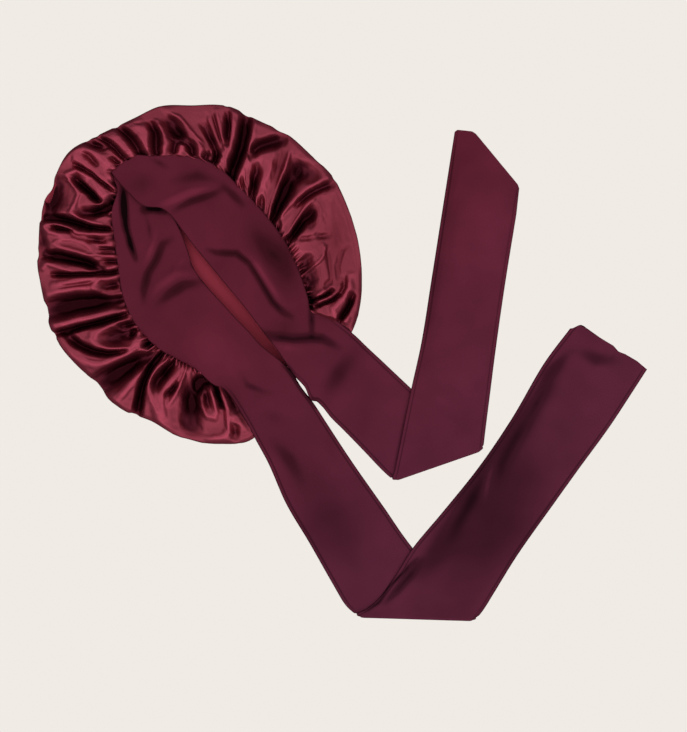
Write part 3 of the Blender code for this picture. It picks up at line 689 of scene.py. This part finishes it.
def with_base(fine, flat, base_rise):
    """The crown's points and their places on the flat cloth, with the cloth that lies under the slit, and all faces."""
    points, flats = [fine.reshape(-1, 3)], [flat.reshape(-1, 2)]
    count = len(points[0])
    rings = list(np.arange(count).reshape(fine.shape[:2]))
    for number, reach in enumerate(BASE_REACHES):
        ring = fine[-1, :: 2**number] * [reach, reach, 1]
        rise = 1 - reach
        ring[:, 2] += base_rise * rise**2 * (3 - 2 * rise)
        points.append(ring)
        flats.append(flat[-1, :: 2**number] * reach)
        rings.append(np.arange(count, count + len(ring)))
        count += len(ring)
    points.append([[0, 0, ring[:, 2].mean()]])
    flats.append([[0, 0]])
    last = rings[-1]
    faces = [face[::-1] for face in ring_faces(rings)]
    faces += [(count, last[(k + 1) % len(last)], last[k]) for k in range(len(last))]
    return np.concatenate(points), np.concatenate(flats), [[int(v) for v in face] for face in faces]


def make_crown(settings, material):
    """Lets the start shape go, makes it finer and closes it under the slit."""
    grid, rim, shown, painted_tone_heights = crown_grid(settings)
    pattern = flat_pattern(grid, rim)
    grid = let_go(grid, pattern, shown, settings)
    height = grid[..., 2]
    under = settings.rows + 2
    height[under:] = np.minimum(height[under:], HIGHEST_BELOW)
    height[under - 1] = np.minimum(height[under - 1], np.maximum(height[under - 2] - 1, HIGHEST_BELOW))
    fine = refined(grid)
    upper = fine[: 2 * settings.rows + 1, :, 2]
    np.maximum(upper, LOWEST, out=upper)
    points, flats, faces = with_base(fine, refined(pattern), settings.base_rise / MM)
    data = new_mesh("crown_satin", (points * MM).tolist(), faces)
    corners = np.empty(len(data.loops), np.int32)
    data.loops.foreach_get("vertex_index", corners)
    data.uv_layers.new(name="cloth").data.foreach_set("uv", (flats * MM)[corners].ravel())
    # The folds' heights, with the painted shade beside the band and on the gathers, set the satin's painted highlight
    # on ridges and painted shade in valleys.
    deep = np.zeros(len(data.vertices), np.float32)
    deep[: fine[..., 0].size] = refined(painted_tone_heights[..., None]).ravel()
    set_attribute(data, "painted_fold_shading", deep)
    data.shade_smooth()
    crown = placed("crown_satin", data)
    finish_piece(crown, material, "crown")


# ---------------- the band and the ties


def turned_over(before, crease, height):
    """The sections that turn a strip over its crease to another height. before is the section ahead of it."""
    crease = np.array(crease, float)
    a, b = crease[:3], crease[3:]
    ahead = (a + b - before[:3] - before[3:])[:2] / 2
    line = unit((b - a)[:2])
    outward = unit(ahead - line * ahead.dot(line))
    radius = (height - a[2]) / 2
    sections = []
    for step in range(TURN_STEPS + 1):
        angle = pi * (step / TURN_STEPS - 0.5)
        shift = (*outward * abs(radius) * cos(angle), radius * (1 + sin(angle)))
        sections.append(crease + np.array(shift * 2))
    return sections


def across_shares(settings):
    """Where a strip has its points across, from 0 to 1: closer together at its edges."""
    edge = np.array(EDGE_STEPS) * MM / settings.width
    middle = np.linspace(edge[-1], 1 - edge[-1], settings.columns + 1)[1:-1]
    return np.concatenate((edge, middle, 1 - edge[::-1]))


def strip_grid(sections, shares):
    """Points across each section."""
    sections = np.array(sections)
    shares = shares[None, :, None]
    return sections[:, None, :3] * (1 - shares) + sections[:, None, 3:] * shares


def wrinkled(grid, wrinkles, deepest):
    """The grid with its wrinkles, and their height as a fourth number of each point. The cloth itself sinks at most
    so deep, because other cloth or the floor lies under it."""
    x, y = grid[..., 0], grid[..., 1]
    relief_and_painted_light = np.zeros(x.shape)
    for height, width, *points in wrinkles:
        line = (np.array(points).reshape(-1, 2) - PHOTO_ORIGIN) * (PHOTO_PIXEL, -PHOTO_PIXEL)
        nearest, to_end = near_line(x, y, line)
        ends = np.clip(WRINKLE_END + to_end / (WRINKLE_TAPER[0] * width + WRINKLE_TAPER[1]), 0, 1)
        relief_and_painted_light = relief_and_painted_light + height * np.exp(-((nearest / (WRINKLE_SPREAD * width)) ** 2)) * ends
    # The same height sets painted shade and painted highlight, and is not limited as the cloth's sinking is.
    sunk = np.maximum(relief_and_painted_light, deepest * np.expm1(np.minimum(relief_and_painted_light, 0) / deepest))
    height = grid[..., 2:] + (sunk + STRIP_UNEVENNESS * uneven(x, y))[..., None]
    return np.concatenate((grid[..., :2], height, relief_and_painted_light[..., None]), 2)


def band_grid(settings):
    """The band's middle surface: its right half, its turn at the back and its left half."""
    step = settings.step / MM
    shares = across_shares(settings)
    right = [root_section(SHORT_TIE_ROOT), *map(slit_section, BAND_RIGHT)]
    left = [*map(slit_section, BAND_LEFT), root_section(LONG_TIE_ROOT)]
    turn = turned_over(slit_section(BAND_RIGHT[-1]), slit_section(BAND_BACK), BAND_LEFT[0][3])
    right = smooth_rows(right, step, before=SHORT_TIE["first"][0])
    left = smooth_rows(left, step, after=LONG_TIE["first"][0])
    parts = ((right, RIGHT_WRINKLES), (turn, ()), (left, LEFT_WRINKLES))
    return np.concatenate([wrinkled(strip_grid(part, shares), wrinkles, DEEPEST_ON_CROWN) for part, wrinkles in parts])


def tie_grid(tie, before, settings):
    """A tie's middle surface: its first leg, its turn over the crease and its second leg, as far as its end. before
    is the band's section ahead of it."""
    step = settings.step / MM
    shares = across_shares(settings)
    left, right = tie["crease"]
    at_crease = (*left, STRIP_ON_FLOOR, *right, STRIP_ON_FLOOR)
    turn = turned_over(tie["first"][-1], at_crease, STRIP_ON_STRIP)
    first = smooth_rows([root_section(tie["root"]), *tie["first"], at_crease], step, before)[:-1]
    second = smooth_rows([turn[-1], *tie["second"]], step)[1:]
    outward = unit((turn[TURN_STEPS // 2] - turn[0])[:2])
    first, turn, second = (strip_grid(part, shares) for part in (first, turn, second))
    inward = np.minimum(shares, 1 - shares) * np.linalg.norm(turn[0, -1] - turn[0, 0])
    corner = CORNER * np.clip(1 - inward / (CORNER_SPREAD * CORNER), 0, 1) ** 2
    for rows in (first[::-1], turn, second):
        apart = np.linalg.norm(rows.mean(1) - turn[0].mean(0), axis=1)
        fade = np.clip(CORNER_HOLD - apart / (CORNER_SPREAD * CORNER), 0, 1) ** 2
        rows[..., :2] -= fade[:, None, None] * corner[None, :, None] * outward
    places, *end = zip(*tie["end"])
    x, y = (np.interp(shares, places, values) for values in end)
    last = np.stack((x, y, np.full(len(shares), STRIP_ON_FLOOR)), 1)
    count = round(np.linalg.norm(last - second[-1], axis=1).mean() / step)
    fill = [second[-1] + (last - second[-1]) * part for part in np.linspace(0, 1, count + 1)[1:]]
    second = np.concatenate((second, np.stack(fill)))
    below, above = tie["wrinkles"]
    parts = ((first, below, DEEPEST_ON_CROWN), (turn, (), DEEPEST_IN_TURN), (second, above, DEEPEST_ON_STRIP))
    grid = np.concatenate([wrinkled(*part) for part in parts])
    grid[..., 2] = np.maximum(grid[..., 2], STRIP_ON_FLOOR)
    return grid


def grid_normals(grid):
    normal = np.cross(np.gradient(grid, axis=1), np.gradient(grid, axis=0))
    return normal / np.maximum(np.linalg.norm(normal, axis=2, keepdims=True), 1e-9)


def strip_object(name, grid, pressing, settings):
    """A flattened tube of knit round a middle surface: two faces, rounded edges and, where it is pressed, a pressed
    line beside each edge, with painted shade along the edges and in the pressed lines.
    """
    grid, relief_and_painted_light = grid[..., :3], grid[..., 3]
    normal = grid_normals(grid)
    across = running_length(np.linalg.norm(np.diff(grid, axis=1), axis=2), 1)
    inward = np.minimum(across, across[:, -1:] - across)
    half = settings.thickness / MM / 2
    rounded = np.sqrt(np.clip(1 - np.clip(1 - inward / EDGE_ROUND, 0, 1) ** 2, 0, 1))
    run = running_length(np.linalg.norm(np.diff(grid.mean(1), axis=0), axis=1))
    pressed = np.exp(-(((inward - settings.pressed_line / MM) / PRESSED_WIDTH) ** 2)) * pressing
    pressed = pressed * np.clip(run / PRESSED_FROM, 0, 1)[:, None]
    half = half * (rounded - pressed * rounded)
    upper = (grid + half[..., None] * normal)[:, 1:-1]
    lower = (grid - half[..., None] * normal)[:, 1:-1][:, ::-1]
    rings = np.concatenate((grid[:, :1], upper, grid[:, -1:], lower), 1)
    girth = running_length(np.linalg.norm(np.roll(rings, -1, axis=1) - rings, axis=2), 1)
    uv = np.stack((girth, np.broadcast_to(run[:, None], girth.shape)), 2) * MM
    row, column, corners = round_grid(*rings.shape[:2])
    data = new_mesh(name, (rings.reshape(-1, 3) * MM).tolist(), corners.tolist())
    flat = np.stack((uv[row, column], uv[row + 1, column], uv[row + 1, column + 1], uv[row, column + 1]), 2)
    data.uv_layers.new(name="cloth").data.foreach_set("uv", flat.ravel())
    # Painted shade along the edges and in the pressed lines
    relief_and_painted_light = relief_and_painted_light - EDGE_PAINTED_SHADE * np.exp(-inward / EDGE_PAINTED_SHADE_WIDTH) - PRESSED_LINE_PAINTED_SHADE * pressed
    set_attribute(data, "relief_and_painted_light", np.concatenate((relief_and_painted_light, relief_and_painted_light[:, -2:0:-1]), 1).ravel())
    data.shade_smooth()
    mesh = bmesh.new()
    mesh.from_mesh(data)
    ends = [edge for edge in mesh.edges if edge.is_boundary]
    for edge in ends:
        edge.smooth = False
    bmesh.ops.holes_fill(mesh, edges=ends, sides=0)
    bmesh.ops.recalc_face_normals(mesh, faces=mesh.faces)
    mesh.to_mesh(data)
    mesh.free()
    return placed(name, data)


def make_band(settings, material):
    band = strip_object("band_knit", band_grid(settings), 0, settings)
    finish_piece(band, material, "band")


def make_ties(settings, material):
    for name, tie, row, node, flat in (
        ("tie_short_knit", SHORT_TIE, BAND_RIGHT[0], "tie_short", SHORT_TIE_FLAT),
        ("tie_long_knit", LONG_TIE, BAND_LEFT[-1], "tie_long", LONG_TIE_FLAT),
    ):
        obj = strip_object(name, tie_grid(tie, slit_section(row), settings), PRESSED_SHARE, settings)
        finish_piece(obj, material, node)


# ---------------- finishes


def fill_in(node, inputs):
    """Gives each of these inputs, by name or number, its value, or links it to another node's output."""
    for name, given in inputs.items():
        if isinstance(given, bpy.types.NodeSocket):
            node.id_data.links.new(given, node.inputs[name])
        else:
            node.inputs[name].default_value = given


def add(tree, kind, output, inputs=None, **options):
    """Adds a shader node with these inputs and options, and gives one of its outputs."""
    node = tree.nodes.new("ShaderNode" + kind)
    for name, value in options.items():
        setattr(node, name, value)
    fill_in(node, inputs or {})
    return node.outputs[output]


def add_ramp(tree, value, interpolation, stops):
    """Colours along a value from 0 to 1. stops: the value and the colour there, rising from 0 to 1."""
    colour = add(tree, "ValToRGB", "Color", {"Fac": value})
    ramp = colour.node.color_ramp
    ramp.interpolation = interpolation
    for place, _ in stops[1:-1]:
        ramp.elements.new(place)
    for element, (_, stop) in zip(ramp.elements, stops):
        element.color = (*stop, 1)
    return colour


def new_material(name):
    material = bpy.data.materials.new(name)
    material.use_nodes = True
    return material, material.node_tree, material.node_tree.nodes["Principled BSDF"]


def toned(tree, attribute, tones):
    """Colours along an attribute of the points. tones: the attribute's value and the colour there, rising."""
    known = add(tree, "Attribute", "Fac", attribute_name=attribute)
    low, high = tones[0][0], tones[-1][0]
    share = add(tree, "MapRange", "Result", {"From Min": low, "From Max": high, "Value": known})
    return add_ramp(tree, share, "EASE", [((value - low) / (high - low), colour) for value, colour in tones])


def multiplied(tree, colour, factor):
    return add(tree, "Mix", "Result", {"Factor": 1, "A": colour, "B": factor}, data_type="RGBA", blend_type="MULTIPLY")


def uneven_colour_group():
    """Shared by the finishes: cloth is never quite one colour. Takes a colour and gives it back, lighter and darker
    in soft patches."""
    if "Uneven colour" in bpy.data.node_groups:
        return bpy.data.node_groups["Uneven colour"]
    group = bpy.data.node_groups.new("Uneven colour", "ShaderNodeTree")
    for way in ("INPUT", "OUTPUT"):
        group.interface.new_socket("Colour", in_out=way, socket_type="NodeSocketColor")
    for name in ("Patches", "Darkest", "Lightest"):
        group.interface.new_socket(name, in_out="INPUT", socket_type="NodeSocketFloat")
    given = group.nodes.new("NodeGroupInput").outputs
    result = group.nodes.new("NodeGroupOutput")
    place = add(group, "TexCoord", "Object")
    cloud = add(group, "TexNoise", "Fac", {"Vector": place, "Scale": given["Patches"], "Detail": 1})
    shades = {"To Min": given["Darkest"], "To Max": given["Lightest"], "Value": cloud}
    shade = add(group, "MapRange", "Result", shades)
    fill_in(result, {"Colour": multiplied(group, given["Colour"], shade)})
    return group


def uneven_colour(tree, colour, patches, darkest=0.8, lightest=1.2):
    """The colour in soft patches. patches: how many there are to a metre. darkest, lightest: factors."""
    group = tree.nodes.new("ShaderNodeGroup")
    group.node_tree = uneven_colour_group()
    fill_in(group, {"Colour": colour, "Patches": patches, "Darkest": darkest, "Lightest": lightest})
    return group.outputs["Colour"]


def satin_material(settings):
    """Satin: painted highlight where a fold stands up and painted shade between folds, fine floats of the weave, a dull
    reverse side.
    """
    material, tree, shader = new_material("Satin")
    # Painted shade in the valleys, near black in the deepest, and painted highlight on the ridges, by the folds'
    # height.
    tones = (
        (-13, (0.03, 0.003, 0.0065)), (-6.5, (0.105, 0.0135, 0.024)), (-2.5, (0.215, 0.03, 0.048)),
        (0, (0.29, 0.044, 0.069)), (4, tuple(settings.satin_highlight_colour)),
    )
    cloth = add(tree, "UVMap", "UV", uv_map="cloth")
    stretched = add(tree, "Mapping", "Vector", {"Vector": cloth, "Scale": (1, 0.2, 1)})
    weave = {"Vector": stretched, "Scale": 1 / settings.float_length, "Detail": 2}
    floats = add(tree, "TexNoise", "Fac", weave)
    reverse = add(tree, "NewGeometry", "Backfacing")
    front = uneven_colour(tree, toned(tree, "painted_fold_shading", tones), patches=30)
    sides = {"Factor": reverse, "A": front, "B": (0.33, 0.038, 0.062, 1)}
    fill_in(shader, {
        "Base Color": add(tree, "Mix", "Result", sides, data_type="RGBA"),
        "Metallic": add(tree, "MapRange", "Result", {"Value": reverse, "To Min": 0.86, "To Max": 0.6}),
        "Roughness": add(tree, "MapRange", "Result", {"Value": reverse, "To Min": 0.44, "To Max": 0.7}),
        "Specular IOR Level": 0.3,
        "Specular Tint": (0.85, 0.4, 0.5, 1),
        "Normal": add(tree, "Bump", "Normal", {"Height": floats, "Strength": 0.12, "Distance": 0.0002}),
    })
    return material


def knit_material(settings):
    """Brushed knit: fine wales along the strip, a soft nap, and painted shade in its wrinkles' valleys, along its edges
    and in its pressed lines, with painted highlight on its ridges.
    """
    material, tree, shader = new_material("Knit")
    # Painted shade, near black in the deepest wrinkles, and painted highlight on the ridges.
    tones = tuple((relief_and_painted_light, (tone,) * 3) for relief_and_painted_light, tone in ((-3.6, 0.04), (-1.4, 0.46), (0, 1), (1.7, 1.5)))
    place = add(tree, "TexCoord", "Object")
    down_slit = (cos(SLIT_DIRECTION), sin(SLIT_DIRECTION), 0)
    along = add(tree, "VectorMath", "Value", {0: place, 1: down_slit}, operation="DOT_PRODUCT")
    to_ties = add(tree, "MapRange", "Result", {"Value": along, "From Min": 0.06, "From Max": 0.36})
    colours = {"Factor": to_ties, "A": (*settings.band_colour, 1), "B": (*settings.tie_colour, 1)}
    mottled = uneven_colour(tree, add(tree, "Mix", "Result", colours, data_type="RGBA"), patches=26)
    cloth = add(tree, "UVMap", "UV", uv_map="cloth")
    rows = {"Vector": cloth, "Scale": pi / 10 / settings.wale, "Distortion": 1.5, "Detail": 1}
    wales = add(tree, "TexWave", "Fac", rows)
    nap = add(tree, "TexNoise", "Fac", {"Vector": cloth, "Scale": 900, "Detail": 2})
    height = add(tree, "Math", "Value", {0: wales, 1: nap}, operation="ADD")
    fill_in(shader, {
        "Base Color": multiplied(tree, mottled, toned(tree, "relief_and_painted_light", tones)),
        "Roughness": 0.9,
        "Specular IOR Level": 0.04,
        "Sheen Weight": 0.04,
        "Sheen Roughness": 0.5,
        "Sheen Tint": (0.9, 0.4, 0.5, 1),
        "Normal": add(tree, "Bump", "Normal", {"Height": height, "Strength": 0.35, "Distance": 0.0003}),
    })
    return material


# ---------------- stage


def make_floor():
    """A floor that shows as one plain tone and takes no shadow."""
    floor = square("floor", FLOOR_HALF)
    material, tree, shader = new_material("Floor")
    fill_in(shader, {
        "Base Color": (0, 0, 0, 1), "Roughness": 1, "Specular IOR Level": 0,
        "Emission Color": (*FLOOR_COLOUR, 1), "Emission Strength": 1,
    })
    floor.data.materials.append(material)
    floor.visible_glossy = False
    floor.visible_diffuse = False


def make_camera(scene):
    """Straight above the bonnet, as in the photo."""
    data = bpy.data.cameras.new("camera")
    data.lens = LENS
    data.sensor_width = SENSOR
    data.clip_end = CAMERA_END
    scene.camera = placed("camera", data)
    scene.camera.location = (VIEW_MIDDLE[0] * MM, VIEW_MIDDLE[1] * MM, VIEW_HEIGHT * MM * LENS / SENSOR)


def make_sky(scene):
    """All the light: a sky whose brightness changes with height, and a brighter side."""
    world = bpy.data.worlds.new("studio")
    world.use_nodes = True
    tree = world.node_tree
    direction = add(tree, "TexCoord", "Generated")
    up = add(tree, "SeparateXYZ", "Z", {0: direction})
    brightness = add_ramp(tree, up, "B_SPLINE", [(place, (value,) * 3) for place, value in SKY])
    side = add(tree, "VectorMath", "Value", {0: direction, 1: KEY_SIDE}, operation="DOT_PRODUCT")
    gain = add(tree, "Math", "Value", {0: side, 1: 1}, operation="ADD")
    power = add(tree, "Math", "Value", {0: brightness, 1: gain}, operation="MULTIPLY")
    fill_in(tree.nodes["Background"], {"Color": (1, 1, 1, 1), "Strength": power})
    scene.world = world


# ---------------- add-on


def colour_property(name, description, default):
    return FloatVectorProperty(
        name=name, description=description, default=default, subtype="COLOR", size=3, min=0, max=1
    )


def length_property(name, description, default):
    return FloatProperty(name=name, description=description, default=default, unit="LENGTH")


class BonnetSatin(bpy.types.PropertyGroup):
    # The colour on the fold crests, where painted highlight lifts the satin's tone.
    satin_highlight_colour: colour_property("Satin", "Colour of the satin's shiny face", (0.42, 0.064, 0.103))
    columns: IntProperty(name="Columns", description="Points round the crown", default=480)
    rows: IntProperty(name="Rows", description="Points from the band to the rim", default=32)
    float_length: length_property("Float", "Width of the weave's floats", 0.0004)
    gathers: IntProperty(name="Gathers", description="Small gathers beside the band", default=84)
    gather_height: length_property("Gather height", "Height of the small gathers", 0.0034)
    base_rise: length_property("Base rise", "How high the loose cloth lies under the slit", 0.006)
    bending: FloatProperty(name="Bending stiffness", description="Of the satin, for the solver", default=5)
    frames: IntProperty(name="Frames", description="Frames that the cloth settles for", default=15)


class BonnetKnit(bpy.types.PropertyGroup):
    band_colour: colour_property("Band", "Colour of the band", (0.125, 0.0155, 0.0325))
    tie_colour: colour_property("Ties", "Colour of the ties", (0.122, 0.0205, 0.045))
    wale: length_property("Wale", "Between two wales of the knit", 0.0013)
    thickness: length_property("Thickness", "Of the strip, two layers of knit", 0.002)
    pressed_line: length_property("Pressed line", "How far inside its edge a tie has a pressed line", 0.0039)
    width: length_property("Width", "Of the strip", 0.085)
    columns: IntProperty(name="Columns", description="Points across a strip, apart from its edges", default=30)
    step: length_property("Step", "Between the sections of a strip", 0.0025)


class BONNET_OT_crown(bpy.types.Operator):
    """Make the gathered satin crown"""

    bl_idname = "bonnet.crown"
    bl_label = "Crown"

    def execute(self, context):
        settings = context.scene.bonnet_satin
        make_crown(settings, satin_material(settings))
        return {"FINISHED"}


class BONNET_OT_strips(bpy.types.Operator):
    """Make the knit band and its two ties"""

    bl_idname = "bonnet.strips"
    bl_label = "Band and ties"

    def execute(self, context):
        settings = context.scene.bonnet_knit
        knit = knit_material(settings)
        make_band(settings, knit)
        make_ties(settings, knit)
        return {"FINISHED"}


class BONNET_OT_stage(bpy.types.Operator):
    """Make the floor, the camera and the sky that lights them"""

    bl_idname = "bonnet.stage"
    bl_label = "Stage"

    def execute(self, context):
        context.scene.view_settings.view_transform = "Standard"
        make_floor()
        make_camera(context.scene)
        make_sky(context.scene)
        return {"FINISHED"}


class BONNET_PT_panel(bpy.types.Panel):
    bl_label = "Bonnet"
    bl_space_type = "VIEW_3D"
    bl_region_type = "UI"
    bl_category = "Bonnet"

    def draw(self, context):
        for operator in OPERATORS:
            self.layout.operator(operator.bl_idname)


OPERATORS = (BONNET_OT_crown, BONNET_OT_strips, BONNET_OT_stage)
CLASSES = (BonnetSatin, BonnetKnit, *OPERATORS, BONNET_PT_panel)


def register():
    for cls in CLASSES:
        bpy.utils.register_class(cls)
    bpy.types.Scene.bonnet_satin = PointerProperty(type=BonnetSatin)
    bpy.types.Scene.bonnet_knit = PointerProperty(type=BonnetKnit)


def unregister():
    del bpy.types.Scene.bonnet_satin
    del bpy.types.Scene.bonnet_knit
    for cls in reversed(CLASSES):
        bpy.utils.unregister_class(cls)


def main():
    register()
    bpy.ops.bonnet.crown()
    bpy.ops.bonnet.strips()
    bpy.ops.bonnet.stage()


if __name__ == "__main__":
    main()
